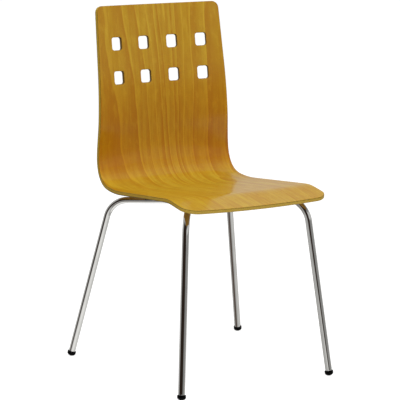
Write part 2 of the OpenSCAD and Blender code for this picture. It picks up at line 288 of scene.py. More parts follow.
def pattern_grid():
    """Rows of (x, v) points over the whole outline, blended from its four edges."""
    side = side_edge()
    front = end_edge(0.0, 1, FRONT_CORNER_R, FRONT_WIDTH / 2 - FRONT_SWEEP)
    top = end_edge(LINE_LENGTH, -1, TOP_CORNER_R, TOP_WIDTH / 2)
    front[-1], top[-1] = side[0], side[-1]
    front[0], top[0] = side[0] * [-1, 1], side[-1] * [-1, 1]
    s = np.linspace(0, 1, COLUMNS + 1)[None, :, None]
    length = np.concatenate([[0], np.cumsum(np.linalg.norm(np.diff(side, axis=0), axis=1))])
    t = (length / length[-1])[:, None, None]
    left = (side * [-1, 1])[:, None, :]
    right = side[:, None, :]
    corners = (1 - s) * (1 - t) * front[0] + s * (1 - t) * front[-1]
    corners = corners + (1 - s) * t * top[0] + s * t * top[-1]
    return (1 - t) * front[None] + t * top[None] + (1 - s) * left + s * right - corners


def grid_steps(values, low, high):
    """First and last grid line round the stretch from low to high."""
    first, last = np.searchsorted(values, [low, high])
    return int(first) - 1, int(last)


def slot_loop(centre, counts, grow):
    """Points round an opening that is grown by grow, anticlockwise; counts are those across and along."""
    r = SLOT_R + grow
    half = np.array([SLOT_W / 2 + grow, SLOT_H / 2 + grow])
    loop = []
    for side in range(4):
        n = counts[side % 2]
        corner_steps = max(2, round(n * CORNER_SHARE))
        flat = half[side % 2] - r
        reach = half[1 - side % 2]
        turn = side * math.pi / 2
        along = np.array([math.cos(turn), math.sin(turn)])
        out = np.array([math.sin(turn), -math.cos(turn)])
        for i in range(n):
            if i < corner_steps:
                a = -math.pi / 4 * (1 - i / corner_steps)
                p = along * (-flat + r * math.sin(a)) + out * (reach - r + r * math.cos(a))
            elif i <= n - corner_steps:
                s = (i - corner_steps) / (n - 2 * corner_steps)
                p = along * (flat * (2 * s - 1)) + out * reach
            else:
                a = math.pi / 4 * (i - n + corner_steps) / corner_steps
                p = along * (flat + r * math.sin(a)) + out * (reach - r + r * math.cos(a))
            loop.append(centre + p)
    return np.array(loop)


class Pattern:
    """Flat pattern: nodes (x, v), faces, and the closed loops where the rims are built."""

    def __init__(self):
        self.grid = pattern_grid()
        rows, self.width = self.grid.shape[:2]
        self.nodes = [p for row in self.grid for p in row]
        self.quads = {}
        for i in range(rows - 1):
            for j in range(COLUMNS):
                a = i * self.width + j
                self.quads[(i, j)] = (a, a + 1, a + self.width + 1, a + self.width)
        self.loops = []
        self.opening_faces = []
        self.draw_in(self.around(0, rows - 1, 0, COLUMNS))
        for row in (0, 1):
            for column in (-1.5, -0.5, 0.5, 1.5):
                v = LINE_LENGTH - SLOT_DROP - row * SLOT_PITCH_V
                self.cut_opening(np.array([column * SLOT_PITCH_X, v]))
        self.nodes = np.array(self.nodes)
        self.faces = list(self.quads.values()) + self.opening_faces

    def around(self, i0, i1, j0, j1):
        """Nodes round the block between rows i0 and i1 and columns j0 and j1, anticlockwise."""
        loop = [i0 * self.width + j for j in range(j0, j1)]
        loop += [i * self.width + j1 for i in range(i0, i1)]
        loop += [i1 * self.width + j for j in range(j1, j0, -1)]
        loop += [i * self.width + j0 for i in range(i1, i0, -1)]
        return loop

    def draw_in(self, edge):
        """Moves the outer edge's nodes in to where its rounding starts, and keeps its true outline."""
        true = np.array([self.nodes[k] for k in edge])
        tangent = np.roll(true, -1, 0) - np.roll(true, 1, 0)
        tangent /= np.linalg.norm(tangent, axis=1)[:, None]
        outward = np.stack([tangent[:, 1], -tangent[:, 0]], 1)
        for k, p, n in zip(edge, true, outward):
            self.nodes[k] = p - EDGE_ROUND * n
        self.loops.append((edge, lambda inset: true - inset * outward))

    def cut_opening(self, centre):
        """Takes out the quads round one opening and fills the frame between them and its edge."""
        reach = np.array([SLOT_W / 2 + OPENING_MARGIN, SLOT_H / 2 + OPENING_MARGIN])
        low, high = centre - reach, centre + reach
        near_row = np.argmin(abs(self.grid[:, COLUMNS // 2, 1] - centre[1]))
        near_column = np.argmin(abs(self.grid[near_row, :, 0] - centre[0]))
        i0, i1 = grid_steps(self.grid[:, near_column, 1], low[1], high[1])
        j0, j1 = grid_steps(self.grid[near_row, :, 0], low[0], high[0])
        for i in range(i0, i1):
            for j in range(j0, j1):
                del self.quads[(i, j)]
        ring = self.around(i0, i1, j0, j1)
        counts = (j1 - j0, i1 - i0)
        outer = np.array([self.nodes[k] for k in ring])
        inner = slot_loop(centre, counts, EDGE_ROUND)
        for blend in (0.5, 1.0):
            first = len(self.nodes)
            self.nodes += list(outer * (1 - blend) + inner * blend)
            next_ring = list(range(first, first + len(inner)))
            for k in range(len(ring)):
                m = (k + 1) % len(ring)
                self.opening_faces.append((ring[k], ring[m], next_ring[m], next_ring[k]))
            ring = next_ring
        self.loops.append((ring[::-1], lambda inset: slot_loop(centre, counts, inset)[::-1]))


def rim_angle(depth):
    """Angle round the board's rounded edge at a depth below the nearer side of the board."""
    return math.acos(max(-1, 1 - depth / EDGE_ROUND)) if depth < EDGE_ROUND else math.pi / 2


def rounded_rim(d0, d1, steps=5):
    """Rim of a layer between depths d0 and d1: (inset, depth) pairs on the board's rounded edge."""
    rim = []
    if d0 < EDGE_ROUND:
        for a in np.linspace(rim_angle(d0), rim_angle(d1), steps + 1):
            rim.append((EDGE_ROUND * (1 - math.sin(a)), EDGE_ROUND * (1 - math.cos(a))))
    if d0 < EDGE_ROUND and d1 > SHELL_T - EDGE_ROUND:
        rim.append((0.0, SHELL_T / 2))
    if d1 > SHELL_T - EDGE_ROUND:
        for a in np.linspace(rim_angle(SHELL_T - d0), rim_angle(SHELL_T - d1), steps + 1):
            rim.append((EDGE_ROUND * (1 - math.sin(a)), SHELL_T - EDGE_ROUND * (1 - math.cos(a))))
    # A point as far in as the layer's own nodes would only repeat them
    return [(inset, depth) for inset, depth in rim if inset < EDGE_ROUND - 1e-9]


def shell_layer(name, pattern, d0, d1, material):
    """One closed layer of the shell, with the flat pattern's coordinates kept in the grain attribute."""
    n = len(pattern.nodes)
    flat = list(pattern.nodes) * 2
    depth = [d0] * n + [d1] * n
    faces = pattern.faces + [tuple(k + n for k in reversed(f)) for f in pattern.faces]
    for loop, at_inset in pattern.loops:
        rings = [loop]
        for inset, d in rounded_rim(d0, d1):
            first = len(flat)
            points = at_inset(inset)
            flat += list(points)
            depth += [d] * len(points)
            rings.append(list(range(first, first + len(points))))
        rings.append([k + n for k in loop])
        for upper, lower in zip(rings[:-1], rings[1:]):
            for k in range(len(loop)):
                m = (k + 1) % len(loop)
                faces.append((upper[k], lower[k], lower[m], upper[m]))
    flat, depth = np.array(flat), np.array(depth)
    x, v = flat[:, 0], bowed(flat[:, 0], flat[:, 1])
    obj = new_object(name, shell_point(x, v, depth), faces, material, smooth_angle=50)
    grain = obj.data.attributes.new("grain", "FLOAT_VECTOR", "POINT")
    grain.data.foreach_set("vector", np.stack([x, v, depth], 1).astype(np.float32).ravel())
    return obj


# ---- Bent tubes ----
def rail_point(side, x, y):
    """A point in the plane of the rails' axes, under the brackets and sloping as the flat seat does."""
    corners = [*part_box("front_seat_bracket"), *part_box("rear_seat_bracket")]
    middle_y = sum(corner.y for corner in corners) / 4
    middle_z = sum(corner.z for corner in corners) / 4
    drop = (TUBE_R + BRACKET_T / 2) / math.cos(SEAT_SLOPE)
    return np.array([side * x, y, middle_z - drop - (y - middle_y) * math.tan(SEAT_SLOPE)])


def knee(side, end):
    x = KNEE_X[end]
    y = HUB[1] + ENDS[end] * (x - HUB[0]) * math.tan(RAIL_ANGLE)
    return rail_point(side, x, y)


def foot(side, end):
    x, y = FOOT[end]
    return np.array([side * x, y, 0.0])


def leg_axis(side, end):
    return unit(knee(side, end) - foot(side, end))


def route(side):
    """Corners of a side tube, from the front leg's lower end to the rear leg's."""
    return [
        foot(side, "front") + GLIDE_H * leg_axis(side, "front"),
        knee(side, "front"),
        rail_point(side, *HUB),
        knee(side, "rear"),
        foot(side, "rear") + GLIDE_H * leg_axis(side, "rear"),
    ]


def smooth_route(corners, steps=28, straight_step=30 * MM):
    """Points and directions along the route, with every corner bent to the tube's bend radius."""
    points, directions = [], []
    position = corners[0]
    last = len(corners) - 1
    for k in range(1, last + 1):
        d = unit(corners[k] - corners[k - 1])
        end = corners[k]
        if k < last:
            next_d = unit(corners[k + 1] - corners[k])
            turn = math.acos(float(d @ next_d))
            end = corners[k] - d * BEND_R * math.tan(turn / 2)
        n = max(2, int(np.linalg.norm(end - position) / straight_step))
        for i in range(n + 1 if k == last else n):
            points.append(position + (end - position) * i / n)
            directions.append(d)
        if k < last:
            inward = unit(next_d - d * (next_d @ d))
            centre = end + inward * BEND_R
            for i in range(steps):
                a = turn * i / steps
                points.append(centre + BEND_R * (d * math.sin(a) - inward * math.cos(a)))
                directions.append(d * math.cos(a) + inward * math.sin(a))
            position = centre + BEND_R * (d * math.sin(turn) - inward * math.cos(turn))
    return np.array(points), np.array(directions)


def bent_tube(name, corners, material, around=48):
    """Hollow round tube along a route, with softened ends."""
    points, directions = smooth_route(corners)
    sideways = [unit(np.cross([0, 0, 1], directions[0]))]
    for d in directions[1:]:
        sideways.append(unit(sideways[-1] - d * (sideways[-1] @ d)))
    soft = 0.5 * MM
    last = len(points) - 1
    # Each ring: number of its point on the route, radius, and shift along the route
    rings = [(0, TUBE_R, soft), (0, TUBE_R, 3 * soft)]
    rings += [(k, TUBE_R, 0.0) for k in range(1, last)]
    rings += [(last, TUBE_R, -3 * soft), (last, TUBE_R, -soft)]
    rings += [(last, TUBE_R - soft, 0.0), (last, BORE_R + soft, 0.0), (last, BORE_R, -soft)]
    rings += [(k, BORE_R, 0.0) for k in range(last - 1, 0, -1)]
    rings += [(0, BORE_R, soft), (0, BORE_R + soft, 0.0), (0, TUBE_R - soft, 0.0)]
    angles = np.linspace(0, 2 * math.pi, around, endpoint=False)
    verts, faces = [], []
    for k, r, shift in rings:
        up = np.cross(directions[k], sideways[k])
        centre = points[k] + directions[k] * shift
        verts += [centre + r * (math.cos(a) * sideways[k] + math.sin(a) * up) for a in angles]
    for k in range(len(rings)):
        following = (k + 1) % len(rings)
        faces += ring_faces(k * around, following * around, around)
    return new_object(name, verts, faces, material, smooth_angle=60)


# ---- Glides ----
def lathe(name, profile, origin, axis, material, around=64):
    """A solid turned about an axis from (radius, height) pairs, flattened where it would pass the floor."""
    az = unit(axis)
    ax = unit(np.cross([0, 1, 0], az))
    ay = np.cross(az, ax)
    angles = np.linspace(0, 2 * math.pi, around, endpoint=False)
    verts, faces = [], []
    for r, h in profile:
        verts += [origin + az * h + r * (math.cos(a) * ax + math.sin(a) * ay) for a in angles]
    last = len(profile) - 1
    for k in range(last):
        faces += ring_faces(k * around, (k + 1) * around, around)
    for k in (0, last):
        hub = len(verts)
        verts.append(origin + az * profile[k][1])
        for i in range(around):
            edge = (k * around + i, k * around + (i + 1) % around)
            faces.append((*edge, hub) if k == last else (*edge[::-1], hub))
    verts = [(x, y, max(z, 0.0)) for x, y, z in verts]
    return new_object(name, verts, faces, material, smooth_angle=50)


def glide_profile():
    """Outline of a glide: domed sole, rounded brim, a groove under the tube's end, and the ribbed plug."""
    sole_r, sole_lift = 12 * MM, 11.5 * MM
    brim = GLIDE_R - 0.1 * MM
    sole_edge = 0.94 * brim
    profile = []
    for a in np.linspace(0.06, math.asin(sole_edge / sole_r), 10):
        profile.append((sole_r * math.sin(a), sole_lift - sole_r * math.cos(a)))
    bottom = profile[-1][1]
    for a in np.linspace(0.2, math.pi / 2, 4):
        r = sole_edge + (brim - sole_edge) * math.sin(a)
        profile.append((r, bottom + 1.4 * MM * (1 - math.cos(a))))
    top, corner = GLIDE_H - 0.3 * MM, 0.5 * MM
    for a in np.linspace(0, math.pi / 2, 5):
        profile.append((brim - corner * (1 - math.cos(a)), top - corner + corner * math.sin(a)))
    neck = TUBE_R - 0.2 * MM
    plug = BORE_R - 0.12 * MM
    between_ribs = plug - 0.5 * MM
    profile += [(neck, top), (neck, GLIDE_H - 0.02 * MM), (plug, GLIDE_H)]
    for k in range(4):
        h = GLIDE_H + (4 + 5 * k) * MM
        profile += [(between_ribs, h - 0.8 * MM), (between_ribs, h)]
        profile += [(plug, h + 0.6 * MM), (plug, h + 2 * MM)]
    profile += [(plug - 0.6 * MM, GLIDE_H + 23.4 * MM), (plug - 1.4 * MM, GLIDE_H + 23.9 * MM)]
    return profile


# ---- Saddle pads between the rails and the shell ----
PAD_HALF_L = 14 * MM
PAD_HALF_W = 11 * MM
PAD_TOP = 15.6 * MM
PAD_EDGE_R = 2 * MM
# The point of the section that stays in place where its outside is drawn in
PAD_CENTRE = np.array([0.0, 6 * MM])
ARCH_POINTS = 17


def rail_axes(side, end):
    """A rail's hub, and axes: along it away from the hub, sideways, and square to the rails' plane."""
    hub = rail_point(side, *HUB)
    along = unit(knee(side, end) - hub)
    up = unit([0, math.sin(SEAT_SLOPE), math.cos(SEAT_SLOPE)])
    across = unit(np.cross(up, along))
    return hub, along, across, up


def pad_outline():
    """Section of a pad: first the arch over the rail, then round its outside."""
    outline = []
    for a in np.linspace(0, math.pi, ARCH_POINTS):
        outline.append((TUBE_R * math.cos(a), TUBE_R * math.sin(a)))
    corner = []
    for a in np.linspace(0, math.pi / 2, 6):
        out = PAD_HALF_W - PAD_EDGE_R * (1 - math.cos(a))
        corner.append((out, PAD_TOP - PAD_EDGE_R + PAD_EDGE_R * math.sin(a)))
    outline += [(-PAD_HALF_W, 0), *((-p, q) for p, q in corner)]
    return outline + [*reversed(corner), (PAD_HALF_W, 0)]


def pad_slices():
    """Places along a pad, with the share of its outside's width and height: rounded ends, and ribs."""
    start = -PAD_HALF_L
    end = [(start, 0.93, 0.93), (start + 0.4 * MM, 0.975, 0.975), (start + 1.2 * MM, 1, 1)]
    ribs = []
    for k in range(6):
        rib = start + (3 + 4 * k) * MM
        ribs += [(rib, 1, 1), (rib + 0.5 * MM, 0.955, 1)]
        ribs += [(rib + 1.5 * MM, 0.955, 1), (rib + 2 * MM, 1, 1)]
    return end + ribs + [(-s, width, height) for s, width, height in reversed(end)]


def pad_cap(first, count):
    """Faces that close a pad's end, whose count vertices start at first, from its outside to its arch."""
    outer = count - ARCH_POINTS
    opposite = ARCH_POINTS - 1 - np.linspace(0, ARCH_POINTS - 1, outer).round().astype(int)
    strips = []
    for m in range(outer - 1):
        strip = [ARCH_POINTS + m, ARCH_POINTS + m + 1, *range(opposite[m + 1], opposite[m] + 1)]
        strips.append([first + k for k in strip])
    return strips


def pad(name, side, end, material):
    """Saddle pad: an extruded arch over the rail, with rounded edges and ribs on its flanks."""
    hub, along, across, up = rail_axes(side, end)
    base = hub + along * PAD_REACH
    outline, slices = pad_outline(), pad_slices()
    count, last = len(outline), len(slices) - 1
    verts, faces = [], []
    for s, width, height in slices:
        for k, (p, q) in enumerate(outline):
            if k >= ARCH_POINTS:
                drawn_in = PAD_CENTRE + (np.array([p, q]) - PAD_CENTRE) * [width, height]
                p, q = drawn_in[0], drawn_in[1] if q > 0 else 0.0
            verts.append(base + along * s + across * p + up * q)
    for k in range(last):
        faces += ring_faces(k * count, (k + 1) * count, count)
    faces += pad_cap(0, count)
    faces += [strip[::-1] for strip in pad_cap(last * count, count)]
    return new_object(name, verts, faces, material, smooth_angle=35)


# ---- Shader node helpers ----
class Nodes:
    """Short calls for the shader nodes used here, on one node tree."""

    def __init__(self, tree):
        self.tree = tree
        tree.nodes.clear()

    def node(self, kind, **settings):
        n = self.tree.nodes.new(kind)
        for key, value in settings.items():
            setattr(n, key, value)
        return n

    def link(self, a, b):
        self.tree.links.new(a, b)

    def put(self, socket, value):
        if isinstance(value, bpy.types.NodeSocket):
            self.link(value, socket)
        else:
            socket.default_value = value

    def math(self, operation, *values):
        n = self.node("ShaderNodeMath", operation=operation)
        for socket, value in zip(n.inputs, values):
            self.put(socket, value)
        return n.outputs[0]

    def add(self, *values):
        total = values[0]
        for value in values[1:]:
            total = self.math("ADD", total, value)
        return total

    def times(self, a, b):
        return self.math("MULTIPLY", a, b)

    def less(self, a, b):
        return self.math("SUBTRACT", a, b)

    def absolute(self, value):
        return self.math("ABSOLUTE", value)

    def split(self, vector):
        n = self.node("ShaderNodeSeparateXYZ")
        self.link(vector, n.inputs[0])
        return n.outputs

    def join(self, x, y, z):
        n = self.node("ShaderNodeCombineXYZ")
        for socket, value in zip(n.inputs, (x, y, z)):
            self.put(socket, value)
        return n.outputs[0]

    def scaled(self, vector, scale):
        n = self.node("ShaderNodeVectorMath", operation="MULTIPLY")
        self.link(vector, n.inputs[0])
        n.inputs[1].default_value = scale
        return n.outputs[0]

    def noise(self, vector, scale, detail=2.0, rough=0.5):
        n = self.node("ShaderNodeTexNoise", noise_dimensions="3D")
        self.link(vector, n.inputs["Vector"])
        n.inputs["Scale"].default_value = scale
        n.inputs["Detail"].default_value = detail
        n.inputs["Roughness"].default_value = rough
        return n.outputs["Fac"]

    def grain_noise(self, x, v, across, along, seed, detail=2.0, rough=0.5):
        """Noise on the flat pattern, with about across waves a metre in x and along waves a metre in v."""
        place_in_noise = self.join(self.times(x, across), self.times(v, along), seed)
        return self.noise(place_in_noise, 1.0, detail, rough)

    def random(self, value):
        n = self.node("ShaderNodeTexWhiteNoise", noise_dimensions="1D")
        self.link(value, n.inputs["W"])
        return n.outputs["Value"]

    def spread(self, value, low, high, to_low=0.0, to_high=1.0):
        """Eases from to_low to to_high as the value goes from low to high."""
        n = self.node("ShaderNodeMapRange", interpolation_type="SMOOTHSTEP")
        self.link(value, n.inputs["Value"])
        for key, number in (("From Min", low), ("From Max", high), ("To Min", to_low), ("To Max", to_high)):
            n.inputs[key].default_value = number
        return n.outputs["Result"]

    def band(self, value, rise, full, fall, end, after=0.0):
        """Rises to 1 as the value goes from rise to full, and sinks to after as it goes from fall to end."""
        return self.times(self.spread(value, rise, full), self.spread(value, fall, end, 1.0, after))

    def mix(self, factor, a, b, blend="MIX"):
        n = self.node("ShaderNodeMix", data_type="RGBA", blend_type=blend)
        self.put(n.inputs[0], factor)
        for socket, colour in ((n.inputs[6], a), (n.inputs[7], b)):
            self.put(socket, colour if isinstance(colour, bpy.types.NodeSocket) else (*colour, 1.0))
        return n.outputs[2]


class Surface(Nodes):
    """A material with a Principled shader."""

    def __init__(self, name):
        self.material = bpy.data.materials.new(name)
        self.material.use_nodes = True
        super().__init__(self.material.node_tree)
        output = self.node("ShaderNodeOutputMaterial")
        self.shader = self.node("ShaderNodeBsdfPrincipled")
        self.link(self.shader.outputs["BSDF"], output.inputs["Surface"])

    def set(self, **values):
        for key, value in values.items():
            self.put(self.shader.inputs[key.replace("_", " ")], value)

    def object_coords(self):
        return self.node("ShaderNodeTexCoord").outputs["Object"]

    def attribute(self, name):
        return self.node("ShaderNodeAttribute", attribute_name=name).outputs["Vector"]

    def bump(self, height, strength, distance):
        n = self.node("ShaderNodeBump")
        n.inputs["Strength"].default_value = strength
        n.inputs["Distance"].default_value = distance
        self.link(height, n.inputs["Height"])
        self.link(n.outputs["Normal"], self.shader.inputs["Normal"])


def shade(colour, factor):
    return tuple(factor * channel for channel in colour)


# ---- Wood: the grain attribute holds x, v and the depth below the top side ----
# Light, middle and dark tone of each veneer
FACE_TONES = [(0.45, 0.294, 0.022), (0.41, 0.235, 0.008), (0.345, 0.155, 0.004)]
BACK_TONES = [(0.41, 0.21, 0.006), (0.36, 0.17, 0.004), (0.28, 0.11, 0.002)]
# Tint of the painted shade on the low part of the back
PAINTED_SHADE_TINT = (0.955, 0.68, 0.15)
# Thickness of two neighbouring plies of the core
PLY_PAIR = 2.4 * MM


def growth_rings(g, x, v, heart, seed):
    """Ring number across a leaf of veneer: closest at the heart, and drifting outwards up the leaf."""
    heart_width_squared = 80 * MM * MM
    reach = 10 * MM
    rings_outwards, rings_along, rings_of_waver = 2.6, -1.3, 0.9
    wander = g.grain_noise(x, v, 5.0, 1.8, seed, rough=0.4)
    across = g.add(x, g.times(g.less(wander, 0.5), 50 * MM), -heart)
    from_heart = g.math("SQRT", g.add(g.times(across, across), heart_width_squared))
    widening = g.math("LOGARITHM", g.add(1.0, g.times(from_heart, 1 / reach)), math.e)
    waver = g.grain_noise(x, v, 26.0, 3.4, seed + 5)
    outwards = g.times(widening, rings_outwards)
    return g.add(outwards, g.times(v, rings_along), g.times(waver, rings_of_waver))


def veneer_colour(g, x, v, fibres, tones, heart, seed):
    """Broad tones, then growth rings, streaks, figure, fibres and flecks laid over them."""
    light, middle, dark = tones
    rings = growth_rings(g, x, v, heart, seed)
    in_ring = g.math("FRACT", rings)
    strength = g.spread(g.random(g.math("FLOOR", rings)), 0.0, 1.0, 0.2, 0.85)
    late_wood = g.times(g.spread(in_ring, 0.0, 0.85, 1.0, 0.0), strength)
    pale_line = g.band(in_ring, 0.84, 0.93, 0.97, 1.0)
    # The rings show less on the seat than on the back
    contrast = g.spread(v, 260 * MM, 420 * MM, 0.45, 1.0)
    tone = g.grain_noise(x, v, 9.0, 1.9, seed + 9)
    streaks = g.grain_noise(x, v, 130.0, 1.6, seed + 13, 3.0)
    figure = g.grain_noise(x, v, 75.0, 24.0, seed + 23, 4.0, 0.6)
    flecks = g.grain_noise(x, v, 1500.0, 260.0, seed + 19, 1.0)
    colour = g.mix(g.spread(tone, 0.36, 0.66), light, middle)
    colour = g.mix(g.times(late_wood, contrast), colour, dark)
    colour = g.mix(g.spread(streaks, 0.42, 0.64, 0.0, 0.42), colour, dark)
    colour = g.mix(g.spread(figure, 0.48, 0.68, 0.0, 0.34), colour, dark)
    colour = g.mix(g.spread(figure, 0.34, 0.48, 0.3, 0.0), colour, shade(light, 1.12))
    colour = g.mix(g.times(g.times(pale_line, contrast), 0.42), colour, shade(light, 1.18))
    colour = g.mix(g.spread(fibres, 0.35, 0.7, 0.0, 0.22), colour, dark)
    return g.mix(g.spread(flecks, 0.62, 0.72, 0.0, 0.3), colour, shade(dark, 0.6))


def veneer_material(name, tones, heart, seed):
    """Clear-lacquered beech veneer, its grain running front to back and up the back."""
    g = Surface(name)
    grain = g.attribute("grain")
    x, v, depth = g.split(grain)
    fibres = g.grain_noise(x, v, 900.0, 14.0, seed + 17, 4.0, 0.6)
    colour = veneer_colour(g, x, v, fibres, tones, heart, seed)
    # Painted shade: the veneer's rim is darkened, for the board's edge in shadow
    from_middle = g.absolute(g.less(depth, SHELL_T / 2))
    colour = g.mix(g.spread(from_middle, 4.3 * MM, 4.45 * MM, 0.7, 0.0), colour, (0.09, 0.045, 0.008))
    # Painted shade: the low part of the back is darkened and reddened, most of all towards its sides, where
    # it catches less light and sheen
    low_back = g.band(v, 400 * MM, 480 * MM, 500 * MM, 800 * MM, after=0.12)
    painted_low_back_shade = g.times(low_back, g.spread(g.absolute(x), 40 * MM, 150 * MM, 0.68, 1.0))
    g.set(Base_Color=g.mix(painted_low_back_shade, colour, PAINTED_SHADE_TINT, blend="MULTIPLY"))
    g.set(Roughness=g.spread(fibres, 0.3, 0.7, 0.42, 0.55), Specular_IOR_Level=0.1)
    g.set(Coat_Weight=0.42, Coat_Roughness=0.13, Coat_IOR=1.5)
    orange_peel = g.noise(grain, 170.0)
    g.bump(g.add(g.times(fibres, 0.35), g.times(orange_peel, 0.5)), 0.06, 0.6 * MM)
    return g.material


def ply_material():
    """Lacquered plywood edge: cross-banded plies, every second one end grain and darker."""
    g = Surface("ply_edge")
    grain = g.attribute("grain")
    x, v, depth = g.split(grain)
    wobble = g.grain_noise(x, v, 30.0, 30.0, 0.0)
    plies = g.add(g.times(depth, 2 * math.pi / PLY_PAIR), g.times(wobble, 0.7))
    ply = g.spread(g.math("SINE", plies), -0.35, 0.35)
    fine = g.noise(g.scaled(grain, (700.0, 700.0, 900.0)), 1.0, 3.0)
    # Painted light: the plies of the rolled front edge are paler than the rest, for the light from below and
    # in front that falls on it
    front = g.spread(v, 20 * MM, 60 * MM, 1.0, 0.0)
    end_grain = g.mix(front, (0.44, 0.27, 0.02), (0.5, 0.31, 0.035))
    long_grain = g.mix(front, (0.58, 0.38, 0.045), (0.68, 0.48, 0.1))
    colour = g.mix(ply, end_grain, long_grain)
    colour = g.mix(g.spread(fine, 0.35, 0.7, 0.0, 0.3), colour, (0.2, 0.1, 0.008))
    # A glue line under the face veneer, and a darker line near the rear, which is painted shade on the
    # edge's rear arris and fades out at the front edge where the edge is lit
    glue_line = g.band(depth, 0.5 * MM, 0.9 * MM, 1.3 * MM, 1.9 * MM)
    rear_shade_line = g.times(g.spread(depth, 6.6 * MM, 7.6 * MM), g.spread(v, 20 * MM, 60 * MM))
    glue_and_shade_line = g.math("MAXIMUM", g.times(glue_line, 0.7), rear_shade_line)
    colour = g.mix(g.times(glue_and_shade_line, 0.85), colour, (0.04, 0.022, 0.006))
    # Painted shade: the walls of the openings are darkened, for the shade inside them
    shaded_openings = g.spread(g.absolute(x), 140 * MM, 150 * MM, 1.0, 0.0)
    wall = g.times(shaded_openings, g.band(v, 600 * MM, 620 * MM, 830 * MM, 840 * MM))
    colour = g.mix(g.times(wall, 0.85), colour, (0.09, 0.045, 0.01))
    g.set(Base_Color=colour)
    g.set(Roughness=g.spread(fine, 0.3, 0.7, 0.35, 0.55), Specular_IOR_Level=0.1)
    g.set(Coat_Weight=0.06, Coat_Roughness=0.25)
    g.bump(g.add(g.times(ply, 0.5), fine), 0.15, 0.4 * MM)
    return g.material


# ---- Metal, plastic and rubber ----
def chrome_material():
    """Bright chrome plate, with faint handling haze and fine polishing lines."""
    g = Surface("chrome")
    coords = g.object_coords()
    haze = g.noise(coords, 22.0, 3.0)
    lines = g.noise(g.scaled(coords, (900.0, 900.0, 40.0)), 1.0)
    g.set(Base_Color=g.mix(g.spread(haze, 0.4, 0.75), (0.7, 0.7, 0.69), (0.63, 0.63, 0.62)))
    g.set(Metallic=1.0)
    g.set(Roughness=g.add(g.spread(haze, 0.45, 0.75, 0.015, 0.05), g.times(lines, 0.012)))
    g.bump(lines, 0.02, 0.2 * MM)
    return g.material


def moulded_material(name, colour, worn, rough, grain_scale):
    """Moulded black plastic or rubber: fine pebble, mottled gloss, and paler where it rubs on the floor."""
    g = Surface(name)
    coords = g.object_coords()
    pebble = g.noise(coords, grain_scale)
    mottle = g.noise(coords, 90.0, 3.0)
    height = g.split(coords)[2]
    rub = g.times(g.spread(height, 0.0, 4 * MM, 1.0, 0.0), g.spread(mottle, 0.35, 0.65))
    base = g.mix(g.spread(mottle, 0.3, 0.75), colour, shade(colour, 1.6))
    g.set(Base_Color=g.mix(rub, base, worn))
    g.set(Roughness=g.spread(mottle, 0.3, 0.7, rough - 0.08, rough + 0.1), Specular_IOR_Level=0.06)
    g.bump(pebble, 0.25, 0.2 * MM)
    return g.material


def powder_coat_material():
    """Black powder coat on the brackets, with its orange-peel texture."""
    g = Surface("powder_coat")
    coords = g.object_coords()
    peel = g.noise(coords, 900.0)
    patches = g.noise(coords, 60.0, 3.0)
    g.set(Base_Color=g.mix(g.spread(patches, 0.3, 0.7), (0.022, 0.022, 0.024), (0.034, 0.034, 0.036)))
    g.set(Roughness=g.spread(patches, 0.3, 0.7, 0.34, 0.46))
    g.set(Coat_Weight=0.2, Coat_Roughness=0.3)
    g.bump(peel, 0.3, 0.3 * MM)
    return g.material


def zinc_material():
    """Zinc-plated fasteners, with a faint yellow and blue bloom."""
    g = Surface("zinc")
    coords = g.object_coords()
    bloom = g.noise(coords, 130.0, 3.0)
    turned = g.noise(g.scaled(coords, (300.0, 300.0, 2500.0)), 1.0)
    g.set(Base_Color=g.mix(g.spread(bloom, 0.35, 0.65), (0.6, 0.6, 0.58), (0.5, 0.52, 0.56)))
    g.set(Metallic=1.0)
    g.set(Roughness=g.spread(turned, 0.3, 0.7, 0.24, 0.38))
    g.bump(turned, 0.1, 0.2 * MM)
    return g.material


# ---- Pieces ----
def build_shell():
    pattern = Pattern()
    face = veneer_material("face_veneer", FACE_TONES, 30 * MM, 1.0)
    back = veneer_material("back_veneer", BACK_TONES, -50 * MM, 31.0)
    layers = [
        ("shell_face", 0.0, VENEER_T, face, "face_veneer"),
        ("shell_plies", VENEER_T, SHELL_T - VENEER_T, ply_material(), "ply_core"),
        ("shell_back", SHELL_T - VENEER_T, SHELL_T, back, "back_veneer"),
    ]
    for name, d0, d1, material, node in layers:
        place(shell_layer(name, pattern, d0, d1, material), node, node)


def dress(node, material, bevel=0.5 * MM):
    """Gives a CAD node its material, and takes the sharpness off its edges."""
    obj = NODES[node]
    obj.data.materials.clear()
    obj.data.materials.append(material)
    round_off = obj.modifiers.new("round_off", "BEVEL")
    round_off.width = bevel
    round_off.segments = 2
    round_off.limit_method = "ANGLE"
    round_off.angle_limit = math.radians(50)
    round_off.harden_normals = True


def build_frame():
    chrome = chrome_material()
    plastic = moulded_material("black_plastic", (0.001, 0.001, 0.0011), (0.004, 0.004, 0.004), 0.5, 1400.0)
    rubber = moulded_material("black_rubber", (0.016, 0.016, 0.016), (0.05, 0.05, 0.05), 0.6, 900.0)
    for side_name, side in SIDES.items():
        tube = bent_tube(f"{side_name}_tube", route(side), chrome)
        place(tube, "chrome", f"{side_name}_leg_tube")
        for end in ENDS:
            leg = f"{end}_{side_name}"
            sole, axis = foot(side, end), leg_axis(side, end)
            glide = lathe(f"{leg}_glide_foot", glide_profile(), sole, axis, plastic)
            place(glide, "black_plastic", f"{leg}_glide")
            saddle = pad(f"{leg}_saddle_pad", side, end, rubber)
            place(saddle, "black_rubber", f"{leg}_pad")
    coat, zinc = powder_coat_material(), zinc_material()
    for node in ("front_seat_bracket", "rear_seat_bracket", "bracket_welds"):
        dress(node, coat)
    for node in ("front_spacer", "rear_spacer"):
        dress(node, plastic)
    for node in ("seat_screws", "lock_washers", "tee_nuts"):
        dress(node, zinc)


